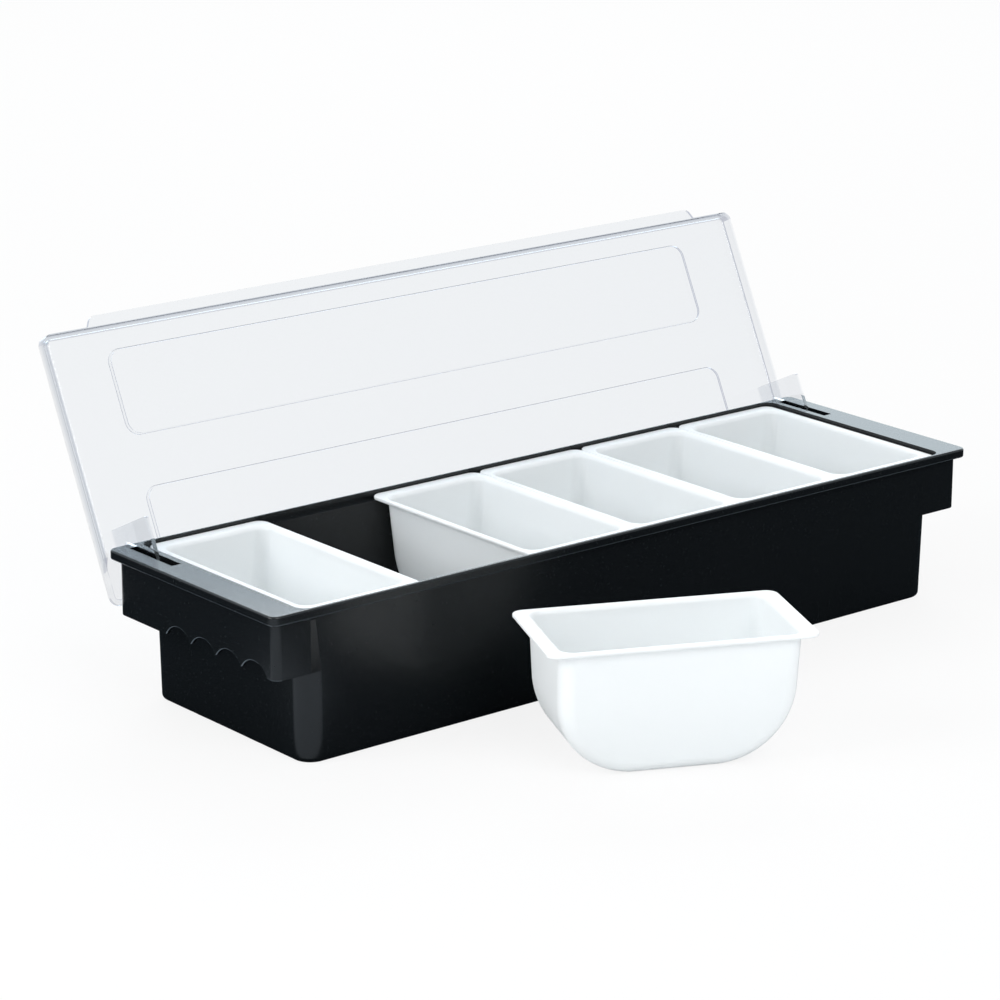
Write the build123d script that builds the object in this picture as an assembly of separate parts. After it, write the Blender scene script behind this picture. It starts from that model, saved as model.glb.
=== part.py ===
from build123d import *
import math
import os

# Bar garnish tray: a black moulded base with six lift-out inserts under a clear hinged lid.
# Millimetres and degrees. X runs along the tray, Y to its back, Z up.
# The origin is the centre of the tray's underside.

# Insert: a D-shaped tub, long side along Y when it sits in the tray
insert_count = 6
insert_width = 76.0
insert_length = 145.0
insert_height = 72.0
insert_wall = 1.5
insert_rim_thickness = 2.0
insert_rim_corner = 6.5
insert_end_flange = 7.7
insert_side_flange = 3.2
insert_end_draft_angle = 1.4
insert_side_draft_angle = 6.4
insert_end_radius = 42.5
insert_edge_radius = 8.0
insert_mouth_radius = 2.6
insert_rim_round = 0.7

# Fit of the inserts in the tray
insert_gap = 0.4
row_end_gap = 1.5
row_side_gap = 0.5
body_side_clearance = 3.1
body_end_clearance = 2.4
seat_gap = 0.25
insert_sink = 2.0
under_clearance = 10.5
first_insert_shift = 2.5

# The insert that stands on the table
empty_bay = 2
free_insert_left = 70.0
free_insert_forward = 169.2
free_insert_angle = 65.5

# Tray
tray_wall = 2.5
tray_floor = 2.5
front_lip_width = 2.0
ledge_width = 19.5
ledge_thickness = 2.5
shelf_thickness = 2.5
band_height = 5.3
band_overhang = 4.2
rim_corner = 4.8
rim_round = 1.2
band_edge_round = 1.0
seat_corner = 7.0
seat_wall = 2.5
body_draft_angle = 0.9
body_corner = 11.0
body_foot_round = 2.8
floor_corner_round = 4.0
end_wall_lean = 3.9
lean_above_skirt = 1.5

# Skirts that wrap round the two ends
skirt_drop = 31.0
skirt_wall = 2.5
skirt_corner = 4.2
skirt_side_run = 22.5
skirt_blend_run = 7.0
skirt_blend_step = 0.9
skirt_foot_round = 0.5

# Finger scallops along the foot of each end skirt
scallop_count = 4
scallop_pitch = 22.6
scallop_rise = 6.7
scallop_front_margin = 7.5
scallop_tip_round = 0.7

# Lid
lid_end_inset = 0.4
lid_front_inset = 0.4
lid_rear_overhang = 0.8
lid_rest_gap = 0.25
lid_skirt_depth = 7.25
lid_skirt_wall = 2.5
lid_plate = 2.0
lid_corner = 5.5
lid_edge_round = 0.8
lid_inner_round = 1.0
lip_reach = 5.8
lip_thickness = 1.8
lip_end_inset = 29.2
lip_taper = 3.1
lip_corner = 5.0
panel_end_inset = 40.2
panel_corner = 8.0
panel_rise = 0.7
panel_edge_round = 0.3
rear_panel_start = 12.4
rear_panel_width = 47.2
panel_spacing = 28.8
front_panel_width = 48.7

# Hinge
hinge_inset = 13.0
hinge_below_rim = 12.0
open_angle = 116.0
stop_gap = 0.3
swing_gap = 0.3
ear_thickness = 2.5
ear_inset = 13.0
ear_reach = 26.4
ear_drop = 19.4
ear_neck = 4.2
ear_rim_gap = 1.0
ear_corner = 1.5
ear_tip_clearance = 0.9
slot_width = 6.0
slot_inset = 12.7
trunnion_radius = 3.5
trunnion_clearance = 0.05
trunnion_reach = 3.8
cup_wall = 2.45
cup_height = 3.9
overrun = 1.0
near = 0.01

# Places that follow from the sizes above
bay_pitch = insert_width + insert_gap
row_half = (insert_count * bay_pitch - insert_gap) / 2
seat_x = row_half + row_end_gap
seat_y = insert_length / 2 + row_side_gap
tray_x = seat_x + ledge_width
tray_y = seat_y + front_lip_width
tray_top = tray_floor + under_clearance + insert_height + insert_sink
band_bottom = tray_top - band_height
shelf_z = tray_top - insert_sink - insert_rim_thickness - seat_gap
body_x = row_half - insert_side_flange + body_end_clearance + tray_wall
body_y = insert_length / 2 - insert_end_flange + body_side_clearance + tray_wall
skirt_x = tray_x - band_overhang
skirt_y = tray_y - band_overhang
skirt_bottom = band_bottom - skirt_drop
lean_z = skirt_bottom + lean_above_skirt
draft = math.tan(math.radians(body_draft_angle))
hinge_y = tray_y - hinge_inset
hinge_z = tray_top - hinge_below_rim
hinge_rise = hinge_below_rim + lid_rest_gap + lid_skirt_depth
hinge_back = hinge_inset + lid_rear_overhang
ear_x = tray_x - ear_inset
cup_face = skirt_x - skirt_wall - cup_height
rim_swing = math.hypot(hinge_inset - rim_round, hinge_below_rim - rim_round) + rim_round
neck_swing = math.hypot(hinge_inset, hinge_below_rim)
lid_x = tray_x - lid_end_inset
lid_front = lid_front_inset - tray_y
lid_rear = tray_y + lid_rear_overhang
lid_low = tray_top + lid_rest_gap
lid_top = lid_low + lid_skirt_depth
lean_sin = math.sin(math.radians(open_angle))
lean_cos = math.cos(math.radians(open_angle))


def slab(half_x, half_y, corner, low, high):
    return extrude(Pos(0, 0, low) * RectangleRounded(2 * half_x, 2 * half_y, corner), high - low)


def plan(points, low, high):
    return extrude(Pos(0, 0, low) * Polygon(*points, align=None), high - low)


# Outside or, with an inset, inside of the tray's body, which tapers and leans out behind the skirts
def tray_body(inset, low):
    levels = [low, lean_z, band_bottom]
    sections = []
    for level in levels:
        half_y = body_y - (band_bottom - level) * draft - inset
        half_x = body_x - inset
        if level < band_bottom:
            half_x -= end_wall_lean + (lean_z - level) * draft
        sections.append(Pos(0, 0, level) * RectangleRounded(2 * half_x, 2 * half_y, body_corner - inset))
    lower = loft([sections[0], sections[1]], ruled=True)
    upper = loft([sections[1], sections[2]], ruled=True)
    top = slab(body_x - inset, body_y - inset, body_corner - inset, band_bottom, shelf_z)
    return lower + upper + top


# Arched cuts along the foot of the end skirt, each a circle through two blunt points
def scallops():
    radius = (scallop_pitch**2 / 4 + scallop_rise**2) / (2 * scallop_rise)
    first = -skirt_y + scallop_front_margin + scallop_pitch / 2
    height = skirt_bottom + scallop_rise - radius
    arches = Sketch() + [
        Pos(first + index * scallop_pitch, height) * Circle(radius) for index in range(scallop_count)
    ]
    points = arches.vertices().sort_by(Axis.Y)[-(scallop_count - 1) :]
    arches = fillet(points, scallop_tip_round)
    return extrude(Plane.YZ.offset(skirt_x + overrun) * arches, -skirt_wall - 2 * overrun)


# One skirt at the +X end: a wall round three sides that runs into the body's long walls
def skirt_block():
    side_start = skirt_x - skirt_side_run
    blend_start = side_start - skirt_blend_run
    half = [
        (blend_start, skirt_y - skirt_blend_step),
        (side_start, skirt_y),
        (skirt_x, skirt_y),
    ]
    points = [(x, -y) for x, y in half] + [(x, y) for x, y in reversed(half)]
    block = plan(points, skirt_bottom, band_bottom + overrun)
    corners = block.edges().filter_by(Axis.Z).group_by(Axis.X)[-1]
    block = fillet(corners, skirt_corner) - scallops()
    # The outer edge of the foot is rounded along the sides, the corners and the arches
    foot = []
    for edge in block.edges():
        place = edge.center()
        if edge in block.edges().filter_by(Axis.X):
            if abs(place.Y) > skirt_y - near and place.Z < skirt_bottom + near:
                foot.append(edge)
        elif place.X > skirt_x - skirt_corner / 2 and place.Z < skirt_bottom + scallop_rise + near:
            foot.append(edge)
    return fillet(foot, skirt_foot_round)


# The finger space under one end ledge, between the body's end wall and the skirt
def finger_space(body):
    start = skirt_x - skirt_side_run - skirt_blend_run
    reach_x = skirt_x - skirt_wall
    reach_y = skirt_y - skirt_wall
    points = [(start, -reach_y), (reach_x, -reach_y), (reach_x, reach_y), (start, reach_y)]
    space = plan(points, skirt_bottom - overrun, tray_top - ledge_thickness)
    corners = space.edges().filter_by(Axis.Z).group_by(Axis.X)[-1]
    space = fillet(corners, skirt_corner - skirt_wall)
    seat_side = plan(
        [
            (0, -tray_y),
            (seat_x + seat_wall, -tray_y),
            (seat_x + seat_wall, tray_y),
            (0, tray_y),
        ],
        band_bottom,
        tray_top,
    )
    return space - body - seat_side


# A round bar or bore along X on the hinge axis
def on_axis(radius, start, end):
    bar = Cylinder(radius, end - start, align=(Align.CENTER, Align.CENTER, Align.MIN))
    return Pos(start, hinge_y, hinge_z) * Rot(0, 90, 0) * bar


def both_ends(shape):
    return [shape, mirror(shape, about=Plane.YZ)]


def make_tray():
    rim = slab(tray_x, tray_y, rim_corner, band_bottom, tray_top)
    rim = fillet(rim.edges().group_by(Axis.Z)[0], band_edge_round)
    rim = fillet(rim.edges().group_by(Axis.Z)[-1], rim_round)
    rim += slab(seat_x, seat_y, seat_corner, shelf_z - shelf_thickness, shelf_z)
    plain_body = tray_body(0, 0)
    body = fillet(plain_body.edges().group_by(Axis.Z)[0], body_foot_round)
    inside = tray_body(tray_wall, tray_floor)
    inside = fillet(inside.edges().group_by(Axis.Z)[0], floor_corner_round)
    tray = rim + body
    for block in both_ends(skirt_block()):
        tray += block
    for space in both_ends(finger_space(plain_body)):
        tray -= space
    tray -= inside
    tray -= slab(seat_x, seat_y, seat_corner, shelf_z, tray_top + overrun)
    cup = on_axis(trunnion_radius + trunnion_clearance + cup_wall, cup_face, skirt_x - skirt_wall / 2)
    bore = on_axis(trunnion_radius + trunnion_clearance, cup_face - overrun, skirt_x - skirt_wall)
    for side in both_ends(cup):
        tray += side
    for side in both_ends(bore):
        tray -= side
    slot_front = hinge_y - math.hypot(ear_reach, ear_drop) - ear_tip_clearance
    slot_rear = skirt_y - skirt_wall
    slot_x = tray_x - slot_inset
    slot = plan(
        [
            (slot_x - slot_width / 2, slot_front),
            (slot_x + slot_width / 2, slot_front),
            (slot_x + slot_width / 2, slot_rear),
            (slot_x - slot_width / 2, slot_rear),
        ],
        tray_top - ledge_thickness - overrun,
        tray_top + overrun,
    )
    for side in both_ends(slot):
        tray -= side
    return tray


# A tub's outside or, with an inset, its inside: the D-shaped long section cut by the tapered sides
def tub(inset):
    low = inset
    end_lean = (insert_height - low) * math.tan(math.radians(insert_end_draft_angle))
    side_lean = (insert_height - low) * math.tan(math.radians(insert_side_draft_angle))
    half_y = insert_length / 2 - insert_end_flange - inset
    half_x = insert_width / 2 - insert_side_flange - inset
    long_face = Plane.YZ * Polygon(
        (-half_y, insert_height),
        (-half_y + end_lean, low),
        (half_y - end_lean, low),
        (half_y, insert_height),
        align=None,
    )
    long_face = fillet(long_face.vertices().group_by(Axis.Z)[0], insert_end_radius - inset)
    cross_face = Plane.XZ * Polygon(
        (-half_x, insert_height),
        (-half_x + side_lean, low),
        (half_x - side_lean, low),
        (half_x, insert_height),
        align=None,
    )
    block = extrude(long_face, insert_width, both=True) & extrude(cross_face, insert_length, both=True)
    sides = [face for face in block.faces() if abs(face.normal_at().X) > abs(face.normal_at().Y)]
    sides = [face for face in sides if abs(face.normal_at().X) > abs(face.normal_at().Z)]
    top = block.edges().group_by(Axis.Z)[-1]
    chain = [edge for face in sides for edge in face.edges() if edge not in top]
    return fillet(chain, insert_edge_radius - inset)


def make_insert():
    low = insert_height - insert_rim_thickness
    rim = slab(insert_width / 2, insert_length / 2, insert_rim_corner, low, insert_height)
    rim = fillet(rim.edges().group_by(Axis.Z)[0] + rim.edges().group_by(Axis.Z)[-1], insert_rim_round)
    shell = rim + tub(0) - tub(insert_wall)
    mouth = shell.faces().group_by(Axis.Z)[-1][0].inner_wires()[0].edges()
    return fillet(mouth, insert_mouth_radius)


# Places in the lid's section are given forward of and below the hinge axis, with the lid closed
def lid_point(forward, down):
    return (hinge_y - forward, hinge_z - down)


# One ear: a plate with a hooked neck that passes over the tray's rim when the lid is open
def make_ear():
    root = lid_plate / 2 - hinge_rise
    over_rim = hinge_below_rim + ear_rim_gap
    neck = (-ear_neck * lean_cos, -ear_neck * lean_sin)
    elbow = (neck[0] + over_rim * lean_sin, neck[1] - over_rim * lean_cos)
    slope = (elbow[1] - root) / lean_sin
    hook = (elbow[0] - slope * lean_cos, root)
    outline = [
        (ear_reach, root),
        (ear_reach, ear_drop),
        (-ear_neck, ear_drop),
        (-ear_neck, 0),
        (0, 0),
        neck,
        elbow,
        hook,
    ]
    lower = Plane.YZ * Polygon(*[lid_point(*point) for point in outline], align=None)
    corners = [(0, root), (ear_reach, root), (ear_reach, 0), (0, 0)]
    upper = Plane.YZ * Polygon(*[lid_point(*point) for point in corners], align=None)
    upper -= Plane.YZ * Pos(hinge_y, hinge_z) * Circle(neck_swing + swing_gap)
    face = fillet(lower.vertices().group_by(Axis.Z)[0], ear_corner) + upper
    ear = extrude(Pos(ear_x, 0, 0) * face, ear_thickness / 2, both=True)
    ear += on_axis(ear_neck, ear_x - ear_thickness / 2, ear_x + ear_thickness / 2)
    return ear + on_axis(trunnion_radius, ear_x, ear_x + ear_thickness / 2 + trunnion_reach)


# A raised rectangle on the lid, or with an inset the hollow under it
def panel(start, width, inset, low, high):
    centre = lid_rear - start - width / 2
    return Pos(0, centre, 0) * slab(
        lid_x - panel_end_inset - inset, width / 2 - inset, panel_corner - inset, low, high
    )


def make_lip():
    root_x = lid_x - lip_end_inset
    tip_y = lid_front - lip_reach
    root_y = lid_front + lid_skirt_wall / 2
    tip_x = root_x - lip_taper
    half = [(tip_x, tip_y), (root_x, lid_front), (root_x, root_y)]
    points = half + [(-x, y) for x, y in reversed(half)]
    lip = plan(points, lid_low, lid_low + lip_thickness)
    return fillet(lip.edges().filter_by(Axis.Z).group_by(Axis.Y)[0], lip_corner)


# The lid, made closed
def make_lid():
    centre_y = (lid_rear + lid_front) / 2
    half_y = (lid_rear - lid_front) / 2
    shell = Pos(0, centre_y, 0) * slab(lid_x, half_y, lid_corner, lid_low, lid_top)
    shell = fillet(shell.edges().group_by(Axis.Z)[-1], lid_edge_round)
    inside = Pos(0, centre_y, 0) * slab(
        lid_x - lid_skirt_wall,
        half_y - lid_skirt_wall,
        lid_corner - lid_skirt_wall,
        lid_low - overrun,
        lid_top - lid_plate,
    )
    shell -= fillet(inside.edges().group_by(Axis.Z)[-1], lid_inner_round)
    # The rear skirt is just deep enough to lean on the tray's back when the lid is open
    rear_depth = hinge_rise - (skirt_y + stop_gap - hinge_y - hinge_back * lean_cos) / lean_sin
    span = lid_x + overrun
    behind = plan(
        [(-span, hinge_y), (span, hinge_y), (span, lid_rear + overrun), (-span, lid_rear + overrun)],
        lid_low - overrun,
        lid_top - rear_depth,
    )
    shell -= behind
    # The side skirts are scooped out where the tray's rim swings past
    shell -= on_axis(rim_swing + swing_gap, -span, span)
    starts = [rear_panel_start, rear_panel_start + rear_panel_width + panel_spacing]
    for start, width in zip(starts, [rear_panel_width, front_panel_width]):
        raised = panel(start, width, 0, lid_top - lid_plate / 2, lid_top + panel_rise)
        shell += fillet(raised.edges().group_by(Axis.Z)[-1], panel_edge_round)
        hollow_top = lid_top - lid_plate + panel_rise
        shell -= panel(start, width, panel_rise, lid_top - lid_plate - overrun, hollow_top)
    shell += make_lip()
    for ear in both_ends(make_ear()):
        shell += ear
    return shell


def save(shape, name):
    solids = shape.solids()
    body = solids[0] if len(solids) == 1 else Compound(children=solids)
    export_step(body, os.path.join("parts", name + ".step"))


os.makedirs("parts", exist_ok=True)
save(make_tray(), "tray")
hinge_axis = Axis((0, hinge_y, hinge_z), (1, 0, 0))
save(make_lid().rotate(hinge_axis, -open_angle), "lid")
insert = make_insert()
for bay in range(insert_count):
    name = "insert_%d" % (bay + 1)
    if bay + 1 == empty_bay:
        save(Pos(-free_insert_left, -free_insert_forward, 0) * Rot(0, 0, free_insert_angle) * insert, name)
    else:
        place_x = (bay - (insert_count - 1) / 2) * bay_pitch
        if bay == 0:
            place_x += first_insert_shift
        save(Pos(place_x, 0, tray_floor + under_clearance) * insert, name)
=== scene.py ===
import math

import bpy
from bpy.props import FloatProperty, FloatVectorProperty, PointerProperty, StringProperty
from bpy.types import Operator, Panel, PropertyGroup
from mathutils import Matrix, Vector

bl_info = {
    "name": "Bar garnish tray",
    "version": (1, 0, 0),
    "blender": (4, 5, 0),
    "location": "View3D > Sidebar > Garnish tray",
    "description": "Finishes for a lidded garnish tray and its inserts, and a plain studio stage",
    "category": "Object",
}

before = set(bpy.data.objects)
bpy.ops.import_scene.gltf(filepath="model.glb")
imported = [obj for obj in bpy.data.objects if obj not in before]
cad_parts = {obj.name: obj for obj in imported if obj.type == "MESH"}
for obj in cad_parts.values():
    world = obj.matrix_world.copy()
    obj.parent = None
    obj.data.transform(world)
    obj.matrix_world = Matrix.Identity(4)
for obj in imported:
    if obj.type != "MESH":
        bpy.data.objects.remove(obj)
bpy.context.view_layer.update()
INSERTS = ["insert_%d" % number for number in range(1, 7)]
MM = 0.001

# Parts of the tray whose rounded edges take a painted highlight, in millimetres from its middle and
# its foot
SKIRT_FACE = (245.2, 246.0)
SKIRT_SIDE = 63.0
SKIRT_INSIDE = 238.0
SKIRT_FOOT = (50.6, 51.3)
ARCHES_TOP = 58.0
BAND_END = 249.0
BAND_SIDE = 74.0
BAND_FOOT = (81.6, 82.8)
# How much of the painted highlight the arches, the skirt's foot and the band's foot take
ARCH_SHARE, FOOT_SHARE, BAND_SHARE = 1.0, 0.6, 0.3
# Cosines between which a face is part of their rounded edges
ARCH_FACING = 0.97
FOOT_FACING = (0.15, 0.97)
BAND_FACING = (0.2, 0.95)

# The way that the open lid's underside faces, and the way up along its sheet
LID_FACING = Vector((0.0, -0.8988, 0.4384))
UP_LID = Vector((0.0, LID_FACING.z, -LID_FACING.y))
# Stretches of the lid in millimetres: along the sheet, from the origin's level, and to the side
PANELS_ALONG = (92.0, 220.0)
PANELS_SIDE = 215.0
EARS_END = 82.0
FRONT_SKIRT = (228.5, 232.0)
# Cosines: a face nearer to square than the first is part of the sheet, and one nearer to
# level than the second is a flat side
SHEET_COSINE = 0.95
SIDE_COSINE = 0.997
# How much of the painted edge shade the lid's outer edges take
LID_EDGE_SHARE = 0.55

# Spacings of the finishes' fine patterns
TRAY_GRAIN = 1.2 * MM
INSERT_WAVE = 14 * MM
INSERT_GRAIN = 1.5 * MM
LID_HAZE = 25 * MM
# How far the grain moves the roughness down and up, as steps or, for the lid, as factors
TRAY_GLOSS = (-0.03, 0.06)
INSERT_GLOSS = (-0.05, 0.07)
LID_POLISH = (0.5, 1.5)
# Strength and height of the ripples
TRAY_RELIEF = (0.25, 0.06 * MM)
INSERT_RELIEF = (0.3, 0.1 * MM)

# Heights of the stage's sheets over the floor, which keep them apart
SHEET_HEIGHT = 0.2 * MM
CARD_HEIGHT = 0.4 * MM
# How much of the floor that the camera sees is even white
FLOOR_WHITE = 0.84
# Where the backdrop lies, and between which cosines from its middle it fades
BACKDROP_WAY = Vector((0.6, 0.75, 0.28)).normalized()
BACKDROP_FADE = (0.6, 0.95)
# Each softbox: its name, its place, its width and height, and the setting of its power
LAMP_AIM = (0.0, 0.0, 0.05)
SOFTBOXES = (
    ("key_softbox", (-0.3, -2.0, 1.7), (1.6, 1.0), "key_power"),
    ("side_softbox", (-2.1, 0.5, 1.2), (1.2, 1.2), "side_power"),
    ("back_softbox", (1.5, 1.9, 1.9), (2.0, 1.2), "back_power"),
)


def linear(hex_colour):
    """An sRGB hex value as linear red, green, blue and alpha."""
    values = [int(hex_colour[i : i + 2], 16) / 255 for i in (1, 3, 5)]
    out = [v / 12.92 if v <= 0.04045 else ((v + 0.055) / 1.055) ** 2.4 for v in values]
    return (*out, 1.0)


def add_node(tree, kind, settings=None, links=None):
    """Adds a node. settings names properties and sockets; links joins sockets to outputs."""
    node = tree.nodes.new(kind)
    for key, value in (settings or {}).items():
        if isinstance(key, str) and hasattr(node, key):
            setattr(node, key, value)
        else:
            node.inputs[key].default_value = value
    for key, socket in (links or {}).items():
        tree.links.new(socket, node.inputs[key])
    return node


def new_material(name):
    material = bpy.data.materials.new(name)
    material.use_nodes = True
    material.node_tree.nodes.clear()
    return material, material.node_tree


def noise(tree, spacing, detail):
    """A soft pattern over the piece's own coordinates. spacing is in metres."""
    place = add_node(tree, "ShaderNodeTexCoord")
    settings = {"Scale": 1 / spacing, "Detail": detail}
    return add_node(tree, "ShaderNodeTexNoise", settings, {"Vector": place.outputs["Object"]})


def spread(tree, pattern, low, high):
    """A pattern's values, spread from low to high."""
    settings = {"To Min": low, "To Max": high}
    return add_node(tree, "ShaderNodeMapRange", settings, {"Value": pattern.outputs["Fac"]})


def relief(tree, pattern, strength, height):
    settings = {"Strength": strength, "Distance": height}
    return add_node(tree, "ShaderNodeBump", settings, {"Height": pattern.outputs["Fac"]})


def two_tones(tree, mark, plain, marked):
    """The plain colour, or the marked one where the faces' mark says so."""
    share = add_node(tree, "ShaderNodeAttribute", {"attribute_name": mark})
    settings = {"data_type": "RGBA", 6: plain, 7: marked}
    return add_node(tree, "ShaderNodeMix", settings, {0: share.outputs["Fac"]})


def mix_shaders(tree, share, first, second):
    """The first shader where share is nought and the second where it is one."""
    return add_node(tree, "ShaderNodeMixShader", None, {0: share, 1: first, 2: second})


def greater(tree, first, second):
    links = {0: first, 1: second}
    return add_node(tree, "ShaderNodeMath", {"operation": "MAXIMUM"}, links).outputs["Value"]


def dress(node_name, material):
    """Gives a CAD node one material on all its faces."""
    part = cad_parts[node_name]
    part.data.materials.clear()
    part.data.materials.append(material)
    for polygon in part.data.polygons:
        polygon.material_index = 0
    return part


def mark_faces(part, name, share):
    """Writes how strongly each face takes a second tone, from nought to one, as share gives it."""
    marks = part.data.attributes.new(name, "FLOAT", "FACE")
    values = [share(face.center / MM, face.normal) for face in part.data.polygons]
    marks.data.foreach_set("value", values)


def rubbed(place, normal):
    """How much painted highlight, a paler colour, a face of the tray takes on its rounded edges.
    place is in mm.
    """
    x, y, z = abs(place.x), abs(place.y), place.z
    low, high = SKIRT_FOOT
    on_face = SKIRT_FACE[0] < x < SKIRT_FACE[1]
    if on_face and high < z < ARCHES_TOP and abs(normal.x) < ARCH_FACING:
        return ARCH_SHARE
    on_foot = x > SKIRT_INSIDE and y > SKIRT_SIDE and low < z < high
    if on_foot and FOOT_FACING[0] < abs(normal.z) < FOOT_FACING[1]:
        return FOOT_SHARE
    on_band = (x > BAND_END or y > BAND_SIDE) and BAND_FOOT[0] < z < BAND_FOOT[1]
    if on_band and BAND_FACING[0] < -normal.z < BAND_FACING[1]:
        return BAND_SHARE
    return 0.0


def lid_painted_edge_shade(place, normal):
    """How much painted edge shade a face of the lid takes: fully on the panels' steps and the lip,
    half on edges.
    """
    along = place.dot(UP_LID)
    if abs(normal.dot(LID_FACING)) >= SHEET_COSINE:
        return 0.0
    on_panels = abs(place.x) < PANELS_SIDE and PANELS_ALONG[0] < along < PANELS_ALONG[1]
    if on_panels or along > FRONT_SKIRT[1]:
        return 1.0
    on_skirt = along < EARS_END or FRONT_SKIRT[0] < along < FRONT_SKIRT[1]
    if abs(normal.x) > SIDE_COSINE or (abs(normal.dot(UP_LID)) > SIDE_COSINE and on_skirt):
        return 0.0
    return LID_EDGE_SHARE


class TraySettings(PropertyGroup):
    """The black moulding's finish."""

    colour: StringProperty(
        name="Colour", description="Pigment of the moulding, as sRGB hex", default="#0C0F11"
    )
    # The paler colour of the painted highlight on the tray's rounded edges
    edge_highlight_colour: StringProperty(
        name="Edge colour", description="Rubbed edges, as sRGB hex", default="#5A636A"
    )
    roughness: FloatProperty(
        name="Roughness",
        description="Mould polish; lower is glossier",
        default=0.24,
        min=0.0,
        max=1.0,
        subtype="FACTOR",
    )
    peel_size: FloatProperty(
        name="Flow ripple",
        description="Spacing of the soft ripple left by the mould",
        default=0.009,
        min=0.001,
        unit="LENGTH",
    )


class InsertSettings(PropertyGroup):
    """The white tubs' finish."""

    colour: StringProperty(
        name="Colour", description="Pigment of the tubs, as sRGB hex", default="#EDF1F2"
    )
    roughness: FloatProperty(
        name="Roughness",
        description="Satin of the moulded surface",
        default=0.36,
        min=0.0,
        max=1.0,
        subtype="FACTOR",
    )
    glow_depth: FloatProperty(
        name="Light depth",
        description="How far light spreads inside the wall",
        default=0.003,
        min=0.0,
        unit="LENGTH",
    )


class LidSettings(PropertyGroup):
    """The clear moulding's finish."""

    tint: StringProperty(
        name="Tint",
        description="Cool tint that thickness gives the clear plastic, as sRGB hex",
        default="#B1BBC8",
    )
    # The colour of the painted shade on the sheet's edges and steps
    edge_shade_tint: StringProperty(
        name="Edge tint",
        description="Tone of the sheet's edges and steps, as sRGB hex",
        default="#9CA1B4",
    )
    roughness: FloatProperty(
        name="Roughness",
        description="Polish of the clear plastic",
        default=0.03,
        min=0.0,
        max=1.0,
        subtype="FACTOR",
    )
    absorption: FloatProperty(
        name="Edge density",
        description="How fast the tint builds up along the sheet, per metre",
        default=88.0,
        min=0.0,
    )


class StageSettings(PropertyGroup):
    """Camera, floor and lights."""

    camera_place: FloatVectorProperty(
        name="Camera place",
        description="Where the camera stands",
        default=(-1.2901, -1.5226, 0.6851),
        subtype="XYZ",
        unit="LENGTH",
    )
    camera_heading: FloatProperty(
        name="Heading",
        description="Turn from straight ahead towards +X",
        default=math.radians(39.364),
        unit="ROTATION",
    )
    camera_tilt: FloatProperty(
        name="Tilt",
        description="Angle below level",
        default=math.radians(16.75),
        unit="ROTATION",
    )
    camera_roll: FloatProperty(
        name="Roll",
        description="Turn about the line of sight",
        default=math.radians(0.2),
        unit="ROTATION",
    )
    lens: FloatProperty(
        name="Lens",
        description="Focal length on a 36 mm wide film",
        default=134.39,
        min=1.0,
        unit="CAMERA",
    )
    floor_size: FloatProperty(
        name="Floor size",
        description="Side of the pale floor",
        default=16.0,
        min=1.0,
        unit="LENGTH",
    )
    sheet_colour: StringProperty(
        name="Dark sheet",
        description="The sheet that the black walls mirror",
        default="#2E373E",
    )
    sheet_size: FloatProperty(
        name="Dark sheet size",
        description="Side of the dark sheet",
        default=3.0,
        min=0.5,
        unit="LENGTH",
    )
    pale_card_colour: StringProperty(
        name="Pale card",
        description="The card that the near corner mirrors",
        default="#DCE6F0",
    )
    pale_card_place: FloatVectorProperty(
        name="Pale card place",
        description="Middle of the card's edge by the tray",
        default=(-0.2495, -0.0735),
        size=2,
        unit="LENGTH",
    )
    pale_card_turn: FloatProperty(
        name="Pale card turn",
        description="Heading across the card's edge by the tray",
        default=math.radians(51),
        unit="ROTATION",
    )
    pale_card_size: FloatVectorProperty(
        name="Pale card size",
        description="Length and depth of the pale card",
        default=(0.44, 0.45),
        size=2,
        unit="LENGTH",
    )
    near_card_size: FloatVectorProperty(
        name="Near card size",
        description="Length and depth of the pale strip from the card to the tray",
        default=(0.3, 0.021),
        size=2,
        unit="LENGTH",
    )
    backdrop_level: FloatProperty(
        name="Backdrop level",
        description="Strength of the backdrop that gloss shows, low behind the tray",
        default=2.7,
        min=0.0,
    )
    world_level: FloatProperty(
        name="Sky level",
        description="Strength of the even studio light",
        default=0.62,
        min=0.0,
    )
    key_power: FloatProperty(
        name="Key power", description="Watts of the front softbox", default=25.0, min=0.0
    )
    side_power: FloatProperty(
        name="Side power", description="Watts of the left softbox", default=26.0, min=0.0
    )
    back_power: FloatProperty(
        name="Back power", description="Watts of the rear softbox", default=25.0, min=0.0
    )


class TRAY_OT_base(Operator):
    """Finishes the black moulded tray"""

    bl_idname = "garnish_tray.base"
    bl_label = "Tray"

    def execute(self, context):
        settings = context.scene.garnish_tray
        material, tree = new_material("moulded_black_polystyrene")
        # Polished injection-moulded polystyrene: near black, with clean reflections that a faint
        # ripple from the mould softens, a very fine grain, and a painted highlight, a paler colour,
        # on the rounded edges.
        ripple = noise(tree, settings.peel_size, 1.0)
        grain = noise(tree, TRAY_GRAIN, 2.0)
        gloss = spread(tree, grain, *[settings.roughness + step for step in TRAY_GLOSS])
        bump = relief(tree, ripple, *TRAY_RELIEF)
        # The marked rounded edges take the paler colour, a painted highlight
        tone = two_tones(tree, "rubbed", linear(settings.colour), linear(settings.edge_highlight_colour))
        shader = add_node(
            tree,
            "ShaderNodeBsdfPrincipled",
            {"IOR": 1.5, "Specular IOR Level": 0.4},
            {
                "Base Color": tone.outputs[2],
                "Roughness": gloss.outputs["Result"],
                "Normal": bump.outputs["Normal"],
            },
        )
        add_node(tree, "ShaderNodeOutputMaterial", None, {"Surface": shader.outputs["BSDF"]})
        mark_faces(dress("tray", material), "rubbed", rubbed)
        return {"FINISHED"}


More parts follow.
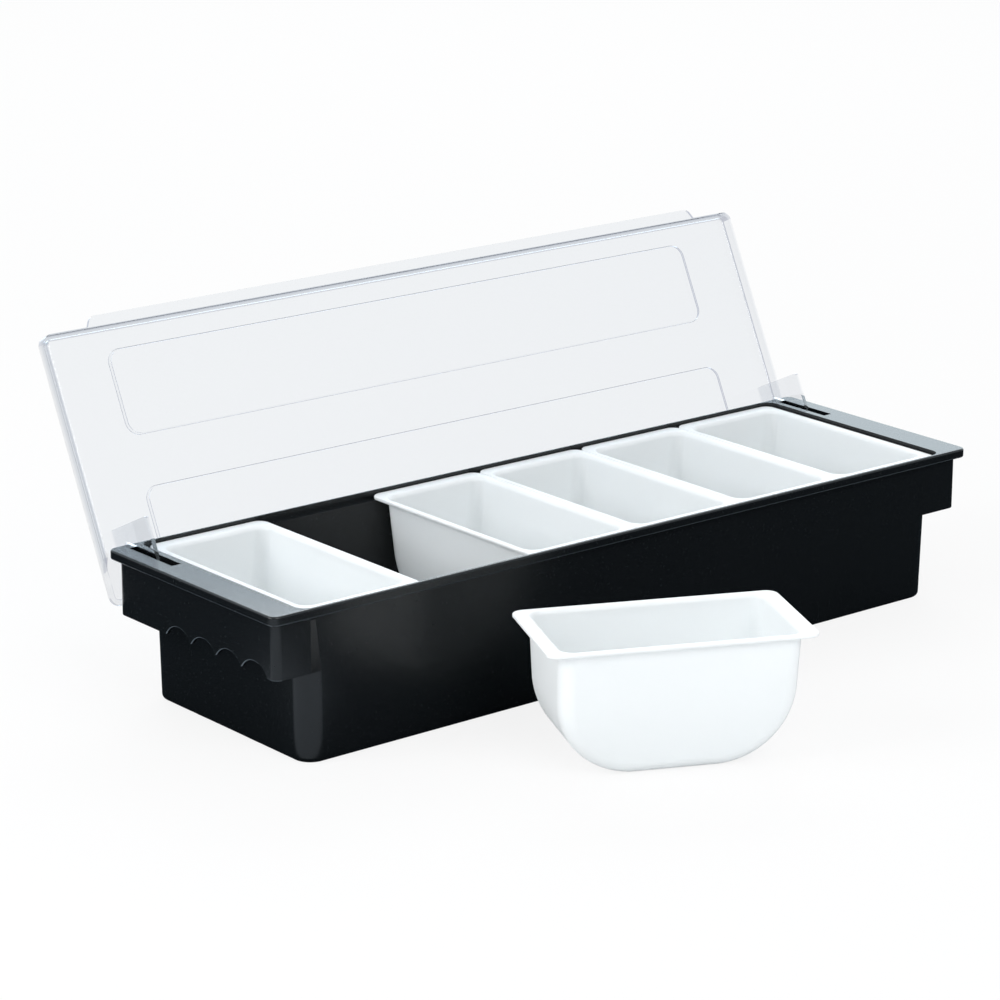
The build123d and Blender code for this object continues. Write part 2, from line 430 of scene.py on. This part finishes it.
class TRAY_OT_inserts(Operator):
    """Finishes the white lift-out tubs"""

    bl_idname = "garnish_tray.inserts"
    bl_label = "Inserts"

    def execute(self, context):
        settings = context.scene.garnish_inserts
        material, tree = new_material("moulded_white_polypropylene")
        # Moulded polypropylene: milky white with a satin skin, light that spreads a little inside
        # the thin wall and so softens its corners, and a faint waviness in its reflections.
        wave = noise(tree, INSERT_WAVE, 2.0)
        grain = noise(tree, INSERT_GRAIN, 2.0)
        gloss = spread(tree, grain, *[settings.roughness + step for step in INSERT_GLOSS])
        bump = relief(tree, wave, *INSERT_RELIEF)
        shader = add_node(
            tree,
            "ShaderNodeBsdfPrincipled",
            {
                "Base Color": linear(settings.colour),
                "IOR": 1.49,
                "Specular IOR Level": 0.3,
                "Subsurface Weight": 1.0,
                "Subsurface Radius": (1.0, 1.0, 1.0),
                "Subsurface Scale": settings.glow_depth,
            },
            {"Roughness": gloss.outputs["Result"], "Normal": bump.outputs["Normal"]},
        )
        add_node(tree, "ShaderNodeOutputMaterial", None, {"Surface": shader.outputs["BSDF"]})
        for name in INSERTS:
            dress(name, material)
        return {"FINISHED"}


class TRAY_OT_lid(Operator):
    """Finishes the clear hinged lid"""

    bl_idname = "garnish_tray.lid"
    bl_label = "Lid"

    def execute(self, context):
        settings = context.scene.garnish_lid
        material, tree = new_material("moulded_clear_styrene")
        # Clear moulded styrene: almost colourless through its thickness, with a cool lavender
        # grey where the eye looks along the sheet to an edge, and a high polish. The polish is a
        # coat at styrene's own index of 1.57. Below it the index is low, because on pale paper
        # the real sheet's edges fill with light, and a high one would leave them black.
        haze = noise(tree, LID_HAZE, 3.0)
        polish = spread(tree, haze, *[settings.roughness * factor for factor in LID_POLISH])
        # The sheet's edges and the panels' steps take a painted shade, a darker lavender grey in
        # the base colour
        tone = two_tones(tree, "sheet_edge", (1, 1, 1, 1), linear(settings.edge_shade_tint))
        glass = add_node(
            tree,
            "ShaderNodeBsdfPrincipled",
            {
                "IOR": 1.1,
                "Transmission Weight": 1.0,
                "Coat Weight": 0.7,
                "Coat Roughness": settings.roughness,
                "Coat IOR": 1.57,
            },
            {"Base Color": tone.outputs[2], "Roughness": polish.outputs["Result"]},
        )
        # Lamps shine through the clear plastic instead of leaving a solid shadow behind it.
        clear = add_node(tree, "ShaderNodeBsdfTransparent", {"Color": linear("#E4E8EC")})
        ray = add_node(tree, "ShaderNodeLightPath")
        surface = mix_shaders(
            tree, ray.outputs["Is Shadow Ray"], glass.outputs["BSDF"], clear.outputs["BSDF"]
        )
        depth = add_node(
            tree,
            "ShaderNodeVolumeAbsorption",
            {"Color": linear(settings.tint), "Density": settings.absorption},
        )
        add_node(
            tree,
            "ShaderNodeOutputMaterial",
            None,
            {"Surface": surface.outputs["Shader"], "Volume": depth.outputs["Volume"]},
        )
        mark_faces(dress("lid", material), "sheet_edge", lid_painted_edge_shade)
        return {"FINISHED"}


class TRAY_OT_stage(Operator):
    """Sets the camera, the pale floor and the studio lights"""

    bl_idname = "garnish_tray.stage"
    bl_label = "Stage"

    def execute(self, context):
        settings = context.scene.garnish_stage
        self.make_floor(context, settings)
        self.make_cards(context, settings)
        self.make_world(context, settings)
        self.make_camera(context, settings)
        for name, place, size, power in SOFTBOXES:
            self.softbox(context, name, place, size, getattr(settings, power))
        context.scene.view_settings.view_transform = "Standard"
        return {"FINISHED"}

    def make_floor(self, context, settings):
        material, tree = new_material("white_paper_sweep")
        # Matt white paper that carries the soft shadow. The camera, gloss and clear plastic see it
        # a little brighter than the lamps make it, so that it fades into the white beyond it.
        white = add_node(tree, "ShaderNodeEmission", {"Color": (1, 1, 1, 1), "Strength": 1.0})
        paper = add_node(tree, "ShaderNodeBsdfDiffuse", {"Color": linear("#EDEDED")})
        ray = add_node(tree, "ShaderNodeLightPath")
        seen = greater(tree, ray.outputs["Is Camera Ray"], self.gloss_or_clear(tree, ray))
        share = add_node(
            tree, "ShaderNodeMath", {"operation": "MULTIPLY", 1: FLOOR_WHITE}, {0: seen}
        )
        surface = mix_shaders(
            tree, share.outputs["Value"], paper.outputs["BSDF"], white.outputs["Emission"]
        )
        add_node(tree, "ShaderNodeOutputMaterial", None, {"Surface": surface.outputs["Shader"]})
        size = (settings.floor_size, settings.floor_size)
        self.flat_piece(context, "studio_floor", size, (0, 0, 0), material)

    def make_cards(self, context, settings):
        # A dull dark sheet lies round the tray, as a photographer lays one to keep black plastic
        # black, with a pale card on it beyond the near corner, which draws the corner's light
        # band. A strip carries the card on to the tray's foot. Only gloss shows them.
        turn = settings.pale_card_turn
        away = Vector((math.sin(turn), math.cos(turn), 0))
        edge = Vector((*settings.pale_card_place, CARD_HEIGHT))
        sheet = (settings.sheet_size, settings.sheet_size)
        card = settings.pale_card_size
        strip = settings.near_card_size
        pale = settings.pale_card_colour
        for name, colour, size, centre, angle in (
            ("dark_sheet", settings.sheet_colour, sheet, (0, 0, SHEET_HEIGHT), 0),
            ("pale_card", pale, card, edge - away * card[1] / 2, -turn),
            ("near_card", pale, strip, edge + away * strip[1] / 2, -turn),
        ):
            material, tree = new_material(name)
            shader = add_node(tree, "ShaderNodeBsdfDiffuse", {"Color": linear(colour)})
            add_node(tree, "ShaderNodeOutputMaterial", None, {"Surface": shader.outputs["BSDF"]})
            piece = self.flat_piece(context, name, size, centre, material)
            piece.rotation_euler.z = angle
            piece.visible_camera = False
            piece.visible_diffuse = False
            piece.visible_transmission = False
            piece.visible_shadow = False

    def gloss_or_clear(self, tree, ray):
        """One for a glossy or a transmission ray, else nought."""
        return greater(tree, ray.outputs["Is Glossy Ray"], ray.outputs["Is Transmission Ray"])

    def flat_piece(self, context, name, size, centre, material):
        """A level rectangle of the stage."""
        x, y = size[0] / 2, size[1] / 2
        mesh = bpy.data.meshes.new(name)
        mesh.from_pydata([(-x, -y, 0), (x, -y, 0), (x, y, 0), (-x, y, 0)], [], [(0, 1, 2, 3)])
        mesh.materials.append(material)
        piece = bpy.data.objects.new(name, mesh)
        piece.location = centre
        context.scene.collection.objects.link(piece)
        return piece

    def make_world(self, context, settings):
        world = bpy.data.worlds.new("studio")
        context.scene.world = world
        world.use_nodes = True
        tree = world.node_tree
        tree.nodes.clear()
        kind = "ShaderNodeBackground"
        even = add_node(tree, kind, {"Color": linear("#F4F7FA"), "Strength": settings.world_level})
        white = add_node(tree, kind, {"Color": (1, 1, 1, 1), "Strength": 1.0})
        # A bright backdrop low behind the tray, which gloss and clear plastic show and the camera
        # doesn't.
        place = add_node(tree, "ShaderNodeTexCoord")
        facing = add_node(
            tree,
            "ShaderNodeVectorMath",
            {"operation": "DOT_PRODUCT", 1: BACKDROP_WAY},
            {0: place.outputs["Generated"]},
        )
        level = add_node(
            tree,
            "ShaderNodeMapRange",
            {
                "interpolation_type": "SMOOTHSTEP",
                "From Min": BACKDROP_FADE[0],
                "From Max": BACKDROP_FADE[1],
                "To Min": 1.0,
                "To Max": settings.backdrop_level,
            },
            {"Value": facing.outputs["Value"]},
        )
        backdrop = add_node(
            tree, kind, {"Color": linear("#E6F4FC")}, {"Strength": level.outputs["Result"]}
        )
        ray = add_node(tree, "ShaderNodeLightPath")
        shown = mix_shaders(
            tree,
            self.gloss_or_clear(tree, ray),
            even.outputs["Background"],
            backdrop.outputs["Background"],
        )
        surface = mix_shaders(
            tree, ray.outputs["Is Camera Ray"], shown.outputs["Shader"], white.outputs["Background"]
        )
        add_node(tree, "ShaderNodeOutputWorld", None, {"Surface": surface.outputs["Shader"]})

    def make_camera(self, context, settings):
        data = bpy.data.cameras.new("camera")
        data.sensor_fit = "HORIZONTAL"
        data.sensor_width = 36.0
        data.lens = settings.lens
        data.clip_end = 50.0
        camera = bpy.data.objects.new("camera", data)
        context.scene.collection.objects.link(camera)
        camera.matrix_world = (
            Matrix.Translation(settings.camera_place)
            @ Matrix.Rotation(-settings.camera_heading, 4, "Z")
            @ Matrix.Rotation(math.pi / 2 - settings.camera_tilt, 4, "X")
            @ Matrix.Rotation(settings.camera_roll, 4, "Z")
        )
        context.scene.camera = camera

    def softbox(self, context, name, place, size, power):
        """A soft lamp that the camera and clear plastic don't show."""
        data = bpy.data.lights.new(name, "AREA")
        data.shape = "RECTANGLE"
        data.size, data.size_y = size
        data.energy = power
        lamp = bpy.data.objects.new(name, data)
        context.scene.collection.objects.link(lamp)
        direction = Vector(LAMP_AIM) - Vector(place)
        lamp.rotation_euler = direction.to_track_quat("-Z", "Y").to_euler()
        lamp.location = place
        lamp.visible_camera = False
        lamp.visible_transmission = False


class TRAY_PT_panel(Panel):
    """Lists the finishes and the stage"""

    bl_label = "Garnish tray"
    bl_idname = "TRAY_PT_panel"
    bl_space_type = "VIEW_3D"
    bl_region_type = "UI"
    bl_category = "Garnish tray"

    def draw(self, context):
        for key, operator in PANEL_ROWS:
            box = self.layout.box()
            settings = getattr(context.scene, key)
            for field in type(settings).__annotations__:
                box.prop(settings, field)
            box.operator(operator)


PANEL_ROWS = (
    ("garnish_tray", TRAY_OT_base.bl_idname),
    ("garnish_inserts", TRAY_OT_inserts.bl_idname),
    ("garnish_lid", TRAY_OT_lid.bl_idname),
    ("garnish_stage", TRAY_OT_stage.bl_idname),
)
GROUPS = {
    "garnish_tray": TraySettings,
    "garnish_inserts": InsertSettings,
    "garnish_lid": LidSettings,
    "garnish_stage": StageSettings,
}
OPERATORS = (TRAY_OT_base, TRAY_OT_inserts, TRAY_OT_lid, TRAY_OT_stage)
CLASSES = (*GROUPS.values(), *OPERATORS, TRAY_PT_panel)


def register():
    for cls in CLASSES:
        bpy.utils.register_class(cls)
    for key, group in GROUPS.items():
        setattr(bpy.types.Scene, key, PointerProperty(type=group))


def unregister():
    for key in GROUPS:
        delattr(bpy.types.Scene, key)
    for cls in reversed(CLASSES):
        bpy.utils.unregister_class(cls)


def main():
    register()
    bpy.ops.garnish_tray.base()
    bpy.ops.garnish_tray.inserts()
    bpy.ops.garnish_tray.lid()
    bpy.ops.garnish_tray.stage()


if __name__ == "__main__":
    main()
